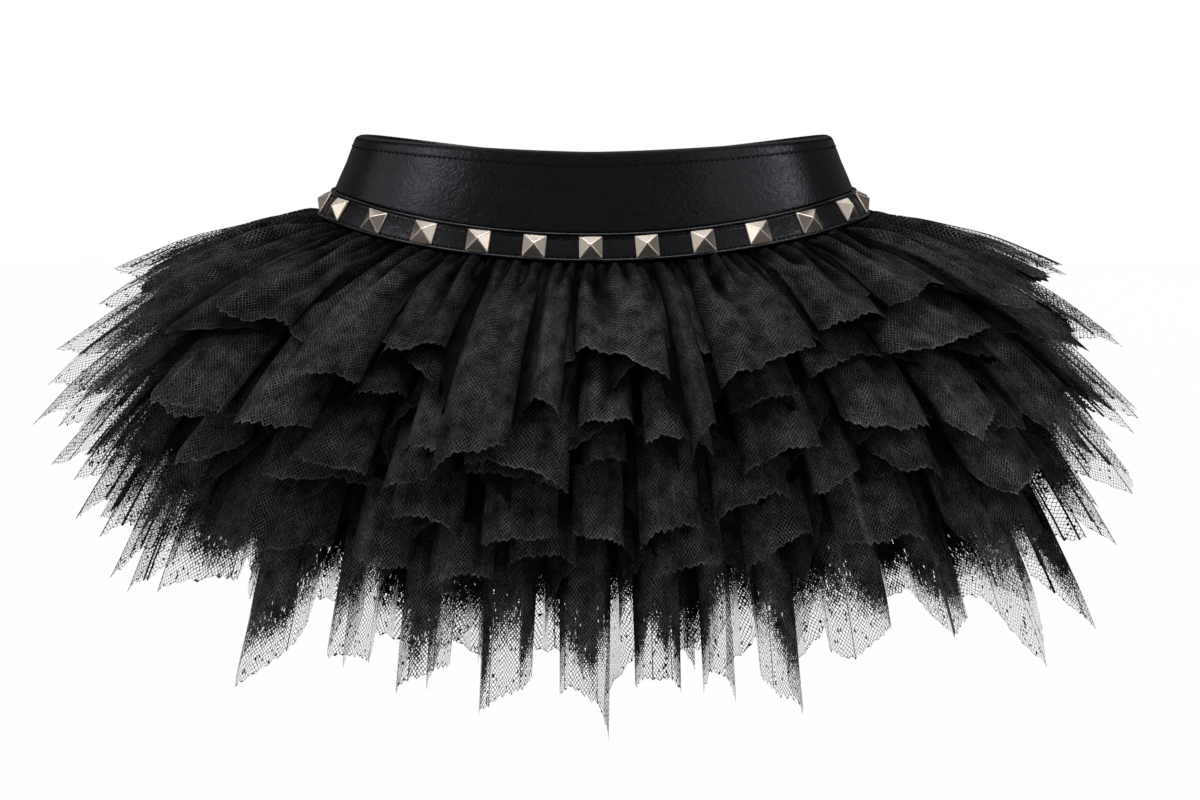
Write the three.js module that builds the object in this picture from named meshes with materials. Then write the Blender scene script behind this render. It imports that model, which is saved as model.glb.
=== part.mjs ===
// A short skirt: six gathered tulle flounces hang from a shaped leather yoke with a studded strip.
// Millimetres, +Z up, front towards -Y. The skirt keeps the round form of a worn one, open and hollow.
// The origin is the middle of the waist, half way up the yoke's sides.
// A share is a part of the way round, 0 at the centre front and growing towards +X.
import * as THREE from 'three';

// Driving dimensions
const PANEL_GAP = 0.3;
const LEATHER_WALL = 2;
const TULLE_WALL = 1.2;
const OVAL_POWER = 2.8;

// Sections from top to bottom. The height is the one at the sides, and it dips towards front and back.
// Columns: half width, half depth, height, dip at the front, dip at the back, power of the dip's curve.
const YOKE_ROWS = [
  [125.2, 75.2, 14.9, 7.2, 13, 1.5],
  [126.6, 76.3, 13.2, 7.4, 13, 1.5],
  [131, 79.2, 1, 13.2, 13.6, 1.8],
  [137.9, 83.6, -13.3, 20.1, 15, 2],
].map(section);
const STRIP_ROWS = [
  [138.1, 83.8, -13.6, 20.1, 15, 2],
  [146, 89.8, -26.9, 20.7, 15, 2],
].map(section);
const COLUMNS_PER_STUD = 3;

const PIPING_WIDTH = 1.4;
const PIPING_INSET = 0.045;
const PIPING_SIDES = 4;

const STUD_COUNT = 27;
const STUD = { side: 11.8, edge: 0.9, height: 5.2, seat: 0.35 };

// Where the flounces are sewn, just under the strip
const SEAM = section([144.8, 88.8, -27.8, 20.7, 15, 2]);
const FLOUNCE_STEP = 1.6;
// How far the cloth heads along the oval's own normal, against an even fan round the body
const NORMAL_SHARE = 0.5;
// Space kept between the folds of two flounces: at the seam, and more for each millimetre out
const CREST_CLEARANCE = 0.95;
const CLEARANCE_GROWTH = 0.022;
// Where the trough between two petals turns at the hem, as a part of its width
const TROUGH_EDGE = 0.27;
const TROUGH_REACH = 0.86;
// A fold's side is steep, so the wall is made thicker there, fully once the fold is this high
const SIDE_THICKENING = 1.4;
const TROUGH_THICKENING = 0.2;
const FULL_FOLD = 4;
const HEM_ROWS = [0, 0.45, 1];

// Each flounce leaves the seam at an angle below level and bends down by so many degrees a millimetre.
const FLOUNCES = [
  { name: 'flounce_1', frontAngle: 20.5, sideAngle: 6, bend: 0.2, notch: 0.01 },
  { name: 'flounce_2', frontAngle: 32.2, sideAngle: 16.4, bend: 0.15, notch: 0.02 },
  { name: 'flounce_3', frontAngle: 41, sideAngle: 25, bend: 0.12, notch: 0.04 },
  { name: 'flounce_4', frontAngle: 48.7, sideAngle: 34, bend: 0.1, notch: 0.05 },
  { name: 'flounce_5', frontAngle: 56.3, sideAngle: 42.6, bend: 0.085, notch: 0.08 },
  { name: 'flounce_6', frontAngle: 64, sideAngle: 53, bend: 0.07, notch: 0.1 },
];

// The petals of each flounce over the front half, from one side to the other.
// Columns: left and right corner in degrees of share, then the reach from the seam at each corner.
// The back repeats them, turned half round the body.
const PETALS = {
  flounce_1: [
    [-87, -76, 112, 114], [-72.5, -61.5, 122, 133], [-57.5, -46.5, 100, 96], [-43, -33.5, 124, 117],
    [-32, -23.2, 105, 84], [-20.5, -10.8, 163, 143], [-8.6, -3.9, 117, 127], [-2.2, 13.2, 80, 105],
    [14.8, 18.6, 150, 132], [20.2, 35.5, 111, 93], [37.5, 47.4, 84, 88], [49.4, 58.8, 84, 70],
    [61, 70, 116, 110], [73, 86, 110, 103],
  ],
  flounce_2: [
    [-88, -78, 160, 164], [-75, -63, 166, 158], [-60, -51, 150, 147], [-49, -39.5, 146, 136],
    [-36.5, -28.6, 112, 104], [-26.5, -20, 136, 140], [-18, -3, 139, 149], [-1.5, 7.5, 114, 112],
    [9, 19, 124, 134], [22, 33, 112, 104], [35, 45, 100, 92], [47.5, 64, 98, 108],
    [67, 77, 133, 132], [80, 88, 138, 142],
  ],
  flounce_3: [
    [-87, -78, 186, 180], [-75, -66, 176, 164], [-63, -46.5, 146, 128], [-43.5, -33, 138, 142],
    [-30.5, -21, 146, 140], [-19, -3, 130, 137], [-1, 6.5, 128, 122], [8, 22, 110, 104],
    [24, 36, 136, 126], [40, 50.5, 116, 134], [52.5, 59.5, 142, 139], [62, 70, 158, 167],
    [73, 86, 172, 184],
  ],
  flounce_4: [
    [-87, -77, 194, 188], [-74, -64, 184, 172], [-61, -53.5, 154, 139], [-50, -34.5, 152, 140],
    [-31, -20, 152, 158], [-17, -5, 156, 150], [-2.5, 6, 150, 156], [8.5, 18.5, 158, 150],
    [20.5, 32.3, 148, 140], [35, 43, 144, 134], [44.7, 53.2, 131, 156], [56, 66, 168, 178],
    [69, 86, 188, 210],
  ],
  flounce_5: [
    [-86, -75, 216, 200], [-72, -60, 194, 186], [-57, -41, 178, 168], [-38, -29, 164, 168],
    [-26, -16, 172, 166], [-13.5, -2, 162, 158], [-0.5, 8, 147, 156], [11, 22.5, 166, 160],
    [26, 36.8, 168, 153], [40, 52, 166, 178], [55, 68, 184, 196], [72, 86, 204, 226],
  ],
  flounce_6: [
    [-87, -74, 228, 206], [-70, -57, 216, 206], [-55, -46, 237, 212], [-43, -36, 212, 215],
    [-33, -23, 224, 206], [-19.6, -9, 228, 208], [-6, 4.6, 216, 238], [7.5, 17, 212, 216],
    [19.5, 25.5, 208, 223], [28.5, 35.5, 214, 235], [39, 50, 216, 208], [53, 60.5, 212, 226],
    [63, 72, 241, 222], [76, 86, 232, 250],
  ],
};

const LEATHER = { color: 0x17171a, roughness: 0.42, metalness: 0 };
const PIPING_LEATHER = { color: 0x0e0e10, roughness: 0.35, metalness: 0 };
const STUD_METAL = { color: 0xc9b7a6, roughness: 0.28, metalness: 1 };
const TULLE = { color: 0x242427, roughness: 0.9, metalness: 0 };

const skirt = new THREE.Group();
skirt.name = 'tulle_skirt';

function section([halfWidth, halfDepth, height, frontDip, backDip, dipPower]) {
  return { halfWidth, halfDepth, height, frontDip, backDip, dipPower };
}

function addPiece(name, geometry, finish) {
  const mesh = new THREE.Mesh(geometry, new THREE.MeshStandardMaterial(finish));
  mesh.name = name;
  skirt.add(mesh);
  return mesh;
}

// The oval of a section, with its points found by share of its length
const OVAL_STEPS = 1440;

function ovalAtTurn(section, turn) {
  const power = 2 / OVAL_POWER;
  const sine = Math.sin(turn);
  const cosine = Math.cos(turn);
  return {
    x: section.halfWidth * Math.sign(sine) * Math.abs(sine) ** power,
    y: -section.halfDepth * Math.sign(cosine) * Math.abs(cosine) ** power,
  };
}

const measuredOvals = new Map();

function measuredOval(section) {
  const key = `${section.halfWidth} ${section.halfDepth}`;
  if (!measuredOvals.has(key)) {
    const points = [];
    const lengths = [0];
    for (let step = 0; step <= OVAL_STEPS; step += 1) {
      points.push(ovalAtTurn(section, (2 * Math.PI * step) / OVAL_STEPS));
      if (step > 0) {
        const last = points[step - 1];
        const span = Math.hypot(points[step].x - last.x, points[step].y - last.y);
        lengths.push(lengths[step - 1] + span);
      }
    }
    measuredOvals.set(key, { points, lengths, length: lengths[OVAL_STEPS] });
  }
  return measuredOvals.get(key);
}

function wrapShare(share) {
  return share - Math.floor(share);
}

function ovalAtShare(section, share) {
  const { points, lengths, length } = measuredOval(section);
  const target = wrapShare(share) * length;
  let low = 0;
  let high = OVAL_STEPS;
  while (high - low > 1) {
    const middle = Math.floor((low + high) / 2);
    if (lengths[middle] <= target) {
      low = middle;
    } else {
      high = middle;
    }
  }
  const part = (target - lengths[low]) / (lengths[high] - lengths[low]);
  return {
    x: THREE.MathUtils.lerp(points[low].x, points[high].x, part),
    y: THREE.MathUtils.lerp(points[low].y, points[high].y, part),
  };
}

// A section's point, with the height dipping towards the centre front and the centre back
function sectionPoint(section, share) {
  const { x, y } = ovalAtShare(section, share);
  const dip = y < 0 ? section.frontDip : section.backDip;
  const toCentre = 1 - Math.min(1, Math.abs(x / section.halfWidth)) ** section.dipPower;
  return new THREE.Vector3(x, y, section.height - dip * toCentre);
}

// The direction in which the oval faces outward, as an angle from the front towards +X
function facingAngle(section, share) {
  const { x, y } = ovalAtShare(section, share);
  const power = OVAL_POWER - 1;
  const outX = (Math.sign(x) * Math.abs(x / section.halfWidth) ** power) / section.halfWidth;
  const outY = (Math.sign(y) * Math.abs(y / section.halfDepth) ** power) / section.halfDepth;
  return Math.atan2(outX, -outY);
}

function inset(section, distance) {
  return {
    ...section,
    halfWidth: section.halfWidth - distance,
    halfDepth: section.halfDepth - distance,
  };
}

// A closed skin over loops of points. Each loop runs down the outside and back up the inside.
// Both faces of a wall are cut along the same diagonal, so that they never cross.
function skinLoops(loops, closedRound) {
  const size = loops[0].length;
  const positions = loops.flat().flatMap((point) => [point.x, point.y, point.z]);
  const faces = [];
  const spans = closedRound ? loops.length : loops.length - 1;
  for (let column = 0; column < spans; column += 1) {
    const here = column * size;
    const next = ((column + 1) % loops.length) * size;
    for (let row = 0; row < size; row += 1) {
      const below = (row + 1) % size;
      if (row < size / 2) {
        faces.push(here + below, next + below, next + row);
        faces.push(here + below, next + row, here + row);
      } else {
        faces.push(here + below, next + below, here + row);
        faces.push(next + below, next + row, here + row);
      }
    }
  }
  if (!closedRound) {
    const last = (loops.length - 1) * size;
    for (let row = 0; row < size / 2 - 1; row += 1) {
      const inner = size - 1 - row;
      faces.push(row, inner, inner - 1);
      faces.push(row, inner - 1, row + 1);
      faces.push(last + row, last + inner - 1, last + inner);
      faces.push(last + row, last + row + 1, last + inner - 1);
    }
  }
  const geometry = new THREE.BufferGeometry();
  geometry.setAttribute('position', new THREE.Float32BufferAttribute(positions, 3));
  geometry.setIndex(faces);
  geometry.computeVertexNormals();
  return geometry;
}

function wallLoop(rows, share, wall) {
  const outer = rows.map((row) => sectionPoint(row, share));
  const inner = rows.map((row) => sectionPoint(inset(row, wall), share));
  return [...outer, ...inner.reverse()];
}

// Yoke: a front piece and two back pieces, joined at the sides and the centre back
const YOKE_PANELS = [
  { name: 'yoke_front', from: -0.25, to: 0.25, columns: 40 },
  { name: 'yoke_back_right', from: 0.25, to: 0.5, columns: 20 },
  { name: 'yoke_back_left', from: 0.5, to: 0.75, columns: 20 },
];

function addYoke() {
  const round = measuredOval(YOKE_ROWS[0]).length;
  const margin = PANEL_GAP / 2 / round;
  for (const panel of YOKE_PANELS) {
    const loops = [];
    for (let column = 0; column <= panel.columns; column += 1) {
      const share = THREE.MathUtils.lerp(panel.from + margin, panel.to - margin, column / panel.columns);
      loops.push(wallLoop(YOKE_ROWS, share, LEATHER_WALL));
    }
    addPiece(panel.name, skinLoops(loops, false), LEATHER);
  }
}

// Strip: a closed band whose flat facets are centred on the studs
const STRIP_COLUMNS = STUD_COUNT * COLUMNS_PER_STUD;

function addStrip() {
  const loops = [];
  for (let column = 0; column < STRIP_COLUMNS; column += 1) {
    loops.push(wallLoop(STRIP_ROWS, (column + 0.5) / STRIP_COLUMNS, LEATHER_WALL));
  }
  addPiece('stud_strip', skinLoops(loops, true), LEATHER);
}

// The strip's local directions at a share, and a point on it: 0 at its upper edge, 1 at its lower edge
function stripFrame(share, down) {
  const step = 0.5 / STRIP_COLUMNS;
  const [upper, lower] = STRIP_ROWS;
  const before = sectionPoint(upper, share - step).lerp(sectionPoint(lower, share - step), down);
  const after = sectionPoint(upper, share + step).lerp(sectionPoint(lower, share + step), down);
  const point = before.clone().add(after).multiplyScalar(0.5);
  const along = after.sub(before).normalize();
  const up = sectionPoint(upper, share).sub(sectionPoint(lower, share));
  up.addScaledVector(along, -up.dot(along)).normalize();
  const out = along.clone().cross(up).normalize();
  return { point, along, up, out };
}

// Piping: a thin rolled edge that lies on the strip along its upper and lower edge
function addPiping(name, down) {
  const radius = PIPING_WIDTH / 2;
  const loops = [];
  for (let column = 0; column < STRIP_COLUMNS; column += 1) {
    const { point, up, out } = stripFrame((column + 0.5) / STRIP_COLUMNS, down);
    const centre = point.addScaledVector(out, radius + PANEL_GAP);
    const loop = [];
    for (let side = 0; side < PIPING_SIDES; side += 1) {
      const turn = (2 * Math.PI * side) / PIPING_SIDES;
      const corner = centre.clone();
      corner.addScaledVector(up, radius * Math.cos(turn));
      corner.addScaledVector(out, radius * Math.sin(turn));
      loop.push(corner);
    }
    loops.push(loop);
  }
  addPiece(name, skinLoops(loops, true), PIPING_LEATHER);
}

// Studs: a square pyramid on a low square edge, pressed on the middle of the strip
function studGeometry() {
  const half = STUD.side / 2;
  const positions = [];
  for (const height of [0, STUD.edge]) {
    positions.push(-half, -half, height, half, -half, height, half, half, height, -half, half, height);
  }
  positions.push(0, 0, STUD.height);
  const apex = 8;
  const faces = [0, 2, 1, 0, 3, 2];
  for (let corner = 0; corner < 4; corner += 1) {
    const next = (corner + 1) % 4;
    faces.push(corner, next, next + 4, corner, next + 4, corner + 4);
    faces.push(corner + 4, next + 4, apex);
  }
  const geometry = new THREE.BufferGeometry();
  geometry.setAttribute('position', new THREE.Float32BufferAttribute(positions, 3));
  geometry.setIndex(faces);
  geometry.computeVertexNormals();
  return geometry;
}

function addStuds() {
  for (let number = 0; number < STUD_COUNT; number += 1) {
    const { point, along, up, out } = stripFrame(number / STUD_COUNT, 0.5);
    const name = `stud_${String(number + 1).padStart(2, '0')}`;
    const stud = addPiece(name, studGeometry(), STUD_METAL);
    stud.position.copy(point.addScaledVector(out, STUD.seat));
    stud.quaternion.setFromRotationMatrix(new THREE.Matrix4().makeBasis(along, up, out));
  }
}

// Flounces: the heading of the cloth from the seam, in the plan
function heading(share) {
  const even = 2 * Math.PI * (wrapShare(share + 0.5) - 0.5);
  const turn = facingAngle(SEAM, share) - even;
  const shortTurn = turn - 2 * Math.PI * Math.round(turn / (2 * Math.PI));
  return even + NORMAL_SHARE * shortTurn;
}

function startAngle(flounce, sideways) {
  const degrees = THREE.MathUtils.lerp(flounce.frontAngle, flounce.sideAngle, sideways);
  return THREE.MathUtils.degToRad(degrees);
}

// Out and down from the seam after a distance along a flounce, and the angle of the cloth there
function along(index, sideways, distance) {
  let out = 0;
  let down = 0;
  for (let step = 0; step < index; step += 1) {
    const upper = startAngle(FLOUNCES[step], sideways);
    const lower = startAngle(FLOUNCES[step + 1], sideways);
    out -= FLOUNCE_STEP * Math.sin((upper + lower) / 2);
    down += FLOUNCE_STEP * Math.cos((upper + lower) / 2);
  }
  const start = startAngle(FLOUNCES[index], sideways);
  const bend = THREE.MathUtils.degToRad(FLOUNCES[index].bend);
  const angle = start + bend * distance;
  out += (Math.sin(angle) - Math.sin(start)) / bend;
  down += (Math.cos(start) - Math.cos(angle)) / bend;
  return { out, down, angle };
}

// Half the free space between a flounce and the next one, which its folds may fill
function foldRoom(index, sideways, distance) {
  const upper = THREE.MathUtils.clamp(index, 0, FLOUNCES.length - 2);
  const above = along(upper, sideways, distance);
  const below = along(upper + 1, sideways, distance);
  const space = Math.hypot(above.out - below.out, above.down - below.down);
  return Math.max(0, space / 2 - CREST_CLEARANCE - CLEARANCE_GROWTH * distance);
}

// A point of a flounce. Crest is 1 on a petal's top and -1 in the trough between two.
// Face is 1 on the wall's upper face and -1 on its lower one.
function flouncePoint(index, share, distance, { crest, thickening }, face) {
  const turn = heading(share);
  const sideways = Math.sin(turn) ** 2;
  const path = along(index, sideways, distance);
  const room = foldRoom(crest > 0 ? index - 1 : index, sideways, distance);
  const half = (TULLE_WALL / 2) * (1 + thickening * Math.min(1, room / FULL_FOLD));
  const lift = crest * room + face * half;
  const out = path.out + lift * Math.sin(path.angle);
  const point = sectionPoint(SEAM, share);
  point.x += out * Math.sin(turn);
  point.y -= out * Math.cos(turn);
  point.z += lift * Math.cos(path.angle) - path.down;
  return point;
}

// The columns of a flounce: four over each petal, then two in the trough before the next one
function petalColumns(petals, notch) {
  const turned = petals.map(([left, right, reachLeft, reachRight]) => (
    [left + 180, right + 180, reachLeft, reachRight]
  ));
  const ring = [...petals, ...turned];
  const columns = [];
  ring.forEach(([left, right, reachLeft, reachRight], number) => {
    const following = ring[(number + 1) % ring.length];
    const nextLeft = number + 1 < ring.length ? following[0] : following[0] + 360;
    const width = right - left;
    const trough = nextLeft - right;
    const reachAt = (part) => THREE.MathUtils.lerp(reachLeft, reachRight, part) * (1 - notch);
    const troughLeft = right + TROUGH_EDGE * trough;
    const troughRight = nextLeft - TROUGH_EDGE * trough;
    const high = { crest: 0.95, thickening: 0 };
    const side = { crest: 0.05, thickening: SIDE_THICKENING };
    const low = { crest: -0.9, thickening: TROUGH_THICKENING };
    columns.push(
      { band: left, hem: left, reach: reachLeft, ...side },
      { band: left + 0.3 * width, hem: left + 0.28 * width, reach: reachAt(0.3), ...high },
      { band: left + 0.7 * width, hem: left + 0.72 * width, reach: reachAt(0.7), ...high },
      { band: right, hem: right, reach: reachRight, ...side },
      { band: right + trough / 3, hem: troughLeft, reach: TROUGH_REACH * reachRight, ...low },
      { band: right + (2 * trough) / 3, hem: troughRight, reach: TROUGH_REACH * following[2], ...low },
    );
  });
  return columns;
}

function addFlounce(flounce, index) {
  const columns = petalColumns(PETALS[flounce.name], flounce.notch);
  const faceRow = (column, face) => HEM_ROWS.map((row) => {
    const share = THREE.MathUtils.lerp(column.band, column.hem, row ** 1.5) / 360;
    return flouncePoint(index, share, row * column.reach, column, face);
  });
  const loops = columns.map((column) => [...faceRow(column, 1), ...faceRow(column, -1).reverse()]);
  addPiece(flounce.name, skinLoops(loops, true), TULLE);
}

addYoke();
addStrip();
addPiping('piping_upper', PIPING_INSET);
addPiping('piping_lower', 1 - PIPING_INSET);
addStuds();
FLOUNCES.forEach(addFlounce);

export default skirt;
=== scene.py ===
"""Looks of a black tulle skirt with a studded leather yoke. Lengths in tables are millimetres."""
import math

import bmesh
import bpy
import numpy as np
from mathutils import Matrix, Vector


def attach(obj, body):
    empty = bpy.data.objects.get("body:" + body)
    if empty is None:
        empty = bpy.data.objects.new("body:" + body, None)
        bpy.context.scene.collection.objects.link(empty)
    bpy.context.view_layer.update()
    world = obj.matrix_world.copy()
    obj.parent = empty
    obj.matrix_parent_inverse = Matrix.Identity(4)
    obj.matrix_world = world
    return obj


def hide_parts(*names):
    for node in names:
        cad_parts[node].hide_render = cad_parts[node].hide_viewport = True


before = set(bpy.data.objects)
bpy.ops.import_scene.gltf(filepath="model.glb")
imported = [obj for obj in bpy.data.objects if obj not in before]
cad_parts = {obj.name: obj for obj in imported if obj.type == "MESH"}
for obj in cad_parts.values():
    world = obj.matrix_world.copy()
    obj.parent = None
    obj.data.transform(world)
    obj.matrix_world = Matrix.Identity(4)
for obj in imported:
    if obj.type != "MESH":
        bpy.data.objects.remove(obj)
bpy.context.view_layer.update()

MM = 0.001

# The photograph's view
IMAGE_WIDTH_PX = 1200
SENSOR_MM = 36.0
CAMERA_DISTANCE = 1500.0
CAMERA_ELEVATION = 6.5
CAMERA_AZIMUTH = 1.0
MM_PER_PIXEL = 0.54
AIM = Vector((3.2, 0.0, -127.7))

# Sections: half width, half depth, height at the sides, dip at the front and back, dip's power
OVAL_POWER = 2.8
YOKE_ROWS = np.array([
    [125.2, 75.2, 14.9, 7.2, 13, 1.5],
    [126.6, 76.3, 13.2, 7.4, 13, 1.5],
    [131, 79.2, 1, 13.2, 13.6, 1.8],
    [137.9, 83.6, -13.55, 20.1, 15, 2],
])
STRIP_ROWS = np.array([
    [138.1, 83.8, -13.6, 20.1, 15, 2],
    [146, 89.8, -26.9, 20.7, 15, 2],
])
SEAM = np.array([144.8, 88.8, -27.8, 20.7, 15, 2])
# where the top flounce's edge is tucked in behind the strip's foot
TUCK = np.array([144.1, 88.1, -26.5, 20.7, 15, 2])
LEATHER_WALL = 2.0
DENT = 0.16
# where two panels meet: how deep and wide the leather turns in, and extra columns beside the seam
SEAM_GAP = 0.01
SEAM_DEPTH = 0.5
SEAM_WIDTH = 0.5
SEAM_STEPS = (0.2, 0.45, 0.75, 1.1)
# a groove under a row of stitches: its width, and extra rows beside it
GROOVE_WIDTH = 0.5
GROOVE_STEPS = (-1.2, -0.8, -0.5, -0.25, 0, 0.25, 0.5, 0.8, 1.2)
# rows of stitches: the parts of the band's width at which they lie, the groove's depth, and how far
# apart, how long, how wide and how far out of the leather the stitches are
YOKE_STITCH = {"parts": (0.19,), "groove": 0.14, "pitch": 2.7, "length": 1.5, "width": 0.85,
               "out": 0.32}
STRIP_STITCH = {"parts": (0.17, 0.83), "groove": 0.16, "pitch": 2.6, "length": 1.5, "width": 0.65,
                "out": 0.24}
PIPING_WIDTH = 1.4
PIPING_INSET = 0.045
PIPING_OUT = 0.15
PIPING_STEPS = 540
PIPING_SIDES = 10
STUD_COUNT = 27
STUD = {"side": 11.8, "edge": 0.9, "apex": 5.35, "seat": 0.35, "bevel": 0.4, "twist": 2.0}
# the largest faces of a stud's rounded edges and ridges, in square metres
EDGE_FACE = 12e-6
RIDGE_FACE = 3e-6

# Flounces: angle below level at the seam in front and at the sides, bend in degrees a millimetre,
# how much the hem rises between a petal's corners, the cut's length, depth and area in metres, where
# the net starts to open and is all open in front and at the sides, and how light it is: lighter on
# the lower flounces, painted light that makes up for the shade cast by the flounces above
FLOUNCE_COLUMNS = ("name", "front", "side", "bend", "notch", "cut", "closing", "tone")
FLOUNCES = [dict(zip(FLOUNCE_COLUMNS, row)) for row in (
    ("flounce_1", 20.5, 6, 0.2, 0.01, (1.75, 0.165, 0.185), (180, 215, 0, 52), 1.0),
    ("flounce_2", 32.2, 16.4, 0.15, 0.02, (1.75, 0.168, 0.215), (180, 215, 45, 108), 1.35),
    ("flounce_3", 41, 25, 0.12, 0.02, (1.75, 0.19, 0.235), (172, 208, 75, 138), 1.6),
    ("flounce_4", 48.7, 34, 0.1, 0.03, (1.75, 0.212, 0.26), (165, 205, 93, 160), 1.9),
    ("flounce_5", 56.3, 42.6, 0.085, 0.03, (1.75, 0.228, 0.28), (160, 205, 120, 190), 1.9),
    ("flounce_6", 64, 53, 0.07, 0.03, (1.9, 0.252, 0.35), (160, 212, 135, 210), 2.4),
)]
# distance between two flounces at the seam, how far the cloth turns from even to square to the seam,
# and the room kept free between the folds of two flounces
FLOUNCE_STEP = 1.6
NORMAL_SHARE = 0.5
CREST_CLEARANCE = 0.95
CLEARANCE_GROWTH = 0.015
# how far a petal's sides fold under it, and how much those of the lowest ones narrow to the hem
FOLD_UNDER = 0.08
WEDGE_TAPER = 0.09
WEDGE_LEVEL = 4.3

# Petals over the front half: left and right corner in degrees of share, and the reach at each corner
PETALS = {
    "flounce_1": [
        [-87, -76, 112, 114], [-72.5, -61.5, 122, 133], [-57.5, -46.5, 100, 96], [-43, -33.5, 124, 117],
        [-32, -23.2, 105, 84], [-20.5, -10.8, 163, 143], [-8.6, -3.9, 117, 127], [-2.2, 13.2, 80, 105],
        [14.8, 18.6, 150, 132], [20.2, 35.5, 111, 93], [37.5, 47.4, 84, 88], [49.4, 58.8, 84, 70],
        [61, 70, 116, 110], [73, 86, 110, 103],
    ],
    "flounce_2": [
        [-88, -78, 160, 164], [-75, -63, 166, 158], [-60, -51, 150, 147], [-49, -39.5, 146, 136],
        [-36.5, -28.6, 112, 104], [-26.5, -20, 136, 140], [-18, -3, 139, 149], [-1.5, 7.5, 114, 112],
        [9, 19, 124, 134], [22, 33, 112, 104], [35, 45, 100, 92], [47.5, 64, 98, 108],
        [67, 77, 133, 132], [80, 88, 138, 142],
    ],
    "flounce_3": [
        [-87, -78, 186, 180], [-75, -66, 176, 164], [-63, -46.5, 146, 128], [-43.5, -33, 138, 142],
        [-30.5, -21, 146, 140], [-19, -3, 130, 137], [-1, 6.5, 128, 122], [8, 22, 110, 104],
        [24, 36, 136, 126], [40, 50.5, 116, 134], [52.5, 59.5, 142, 139], [62, 70, 158, 167],
        [73, 86, 172, 184],
    ],
    "flounce_4": [
        [-87, -77, 194, 188], [-74, -64, 184, 172], [-61, -53.5, 154, 139], [-50, -34.5, 152, 140],
        [-31, -20, 152, 158], [-17, -5, 156, 150], [-2.5, 6, 150, 156], [8.5, 18.5, 158, 150],
        [20.5, 32.3, 148, 140], [35, 43, 144, 134], [44.7, 53.2, 131, 156], [56, 66, 168, 178],
        [69, 86, 188, 210],
    ],
    "flounce_5": [
        [-86, -75, 216, 200], [-72, -60, 194, 186], [-57, -41, 178, 168], [-38, -29, 164, 168],
        [-26, -16, 172, 166], [-13.5, -2, 162, 158], [-0.5, 8, 147, 156], [11, 22.5, 166, 160],
        [26, 36.8, 168, 153], [40, 52, 166, 178], [55, 68, 184, 196], [72, 86, 204, 226],
    ],
    "flounce_6": [
        [-87, -74, 228, 206], [-70, -57, 216, 206], [-55, -46, 237, 212], [-43, -36, 212, 215],
        [-33, -23, 224, 206], [-19.6, -9, 228, 208], [-6, 4.6, 216, 238], [7.5, 17, 212, 216],
        [19.5, 25.5, 208, 223], [28.5, 35.5, 214, 235], [39, 50, 216, 208], [53, 60.5, 212, 226],
        [63, 72, 241, 222], [76, 86, 232, 250],
    ],
}

# A petal's reach and crest at its six columns: left edge, two on its face, right edge, two behind
PETAL_COLUMNS = 6
PETAL_MIDDLE = 1.5
FRONT_HEM = np.array([1, 1, 1, 1, 0.93, 0.9])
SIDE_HEM = np.array([0.88, 1.03, 0.96, 0.9, 0.84, 0.82])
FRONT_CREST = np.array([0.05, 1, 0.9, 0.05, -0.9, -0.9])
SIDE_CREST = np.array([0.2, 1, 0.45, -0.2, -0.9, -0.7])

# Gathers: waves round the body, height, distance where they are full and where they have faded
TOP_WAVES = [(113, 2.6, 4, 36), (83, 2.9, 6, 52), (61, 2.6, 10, 100), (47, 2.6, 30, 400)]
MAIN_WAVES = [(121, 0.8, 7, 30), (88, 1.2, 14, 70), (67, 1.8, 25, 160), (47, 2.2, 40, 400)]
UNDER_WAVES = [(131, 0.8, 8, 30), (97, 1.2, 14, 80), (67, 2.0, 30, 300)]
# the span of a random phase
PHASE_SPAN = 6.28

# Points between two columns of a petal, rows, the hem's hollows with the least and most points in
# one and their depth, and the least and most points in a folded strip
FLOUNCE_STYLE = {"per_column": 8, "rows": 24, "scallops": ((5, 11), 1.6), "strips": (5, 14)}
PLY_STYLE = {"per_column": 6, "rows": 18, "scallops": ((4, 8), 2.2), "strips": (4, 11)}

# Under plies: each lies between two flounces or under the last, with its own slanted petals.
# Columns: name, level, petals round the body, reach in front and at the sides against the flounces'
# own, and the cut's length, depth and area in metres
UNDER_PLIES = [
    ("ply_1", 0.5, 27, 0.86, 0.84, (1.5, 0.13, 0.125)),
    ("ply_2", 1.5, 25, 0.90, 0.88, (1.5, 0.165, 0.165)),
    ("ply_3", 2.5, 27, 0.93, 0.90, (1.6, 0.19, 0.195)),
    ("ply_4", 3.5, 24, 0.96, 0.92, (1.6, 0.21, 0.225)),
    ("ply_5", 4.5, 26, 1.0, 0.93, (1.7, 0.225, 0.265)),
    ("ply_6", 5.35, 23, 0.95, 0.9, (1.7, 0.23, 0.275)),
]
PLY_NOTCH = 0.03
# the under plies' net is darker: painted shade for lying under the flounces
PLY_PAINTED_SHADE = 0.7
PLY_SLANTS = [(1.08, 0.7), (0.74, 1.07), (1.0, 0.74), (0.78, 1.0), (1.08, 0.9)]
UPPER_PLY_CLOSING = (145, 195, 85, 155)
LOWER_PLY_CLOSING = (155, 205, 97, 170)
LOWER_LEVEL = 4

# Folded strips: how much further the net stays closed, how often, and the step that makes a crease
STRIP_LENGTHS = [-18, -3, 22, 48]
STRIP_CHANCES = [0.34, 0.3, 0.2, 0.16]
FOLD_STEP = 19

# The net, in millimetres of cloth: distance between threads, their slant and how far they wander
NET_CELL = 2.15
NET_SLANT = 0.9
NET_WOBBLE = 2.6
# spots that differ from each other: their size, and the share that are dark dots in the open net
SPOT_WIDTH = 0.9
SPOT_LENGTH = 1.5
SPECKLE = 0.3
DOT_CHANCE = 0.035
# slits that let light through where the net is nearly closed
SLIT_WIDTH = 0.5
SLIT_LENGTH = 2.0
SLIT_SHARE = 0.15
# the dark line along a petal's sides and hem, and the band at the hem that is painted lighter, a
# painted highlight where the frayed threads catch light
EDGE_WIDTH = 0.3
HEM_WIDTH = 0.5
HEM_HIGHLIGHT = 1.4

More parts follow.
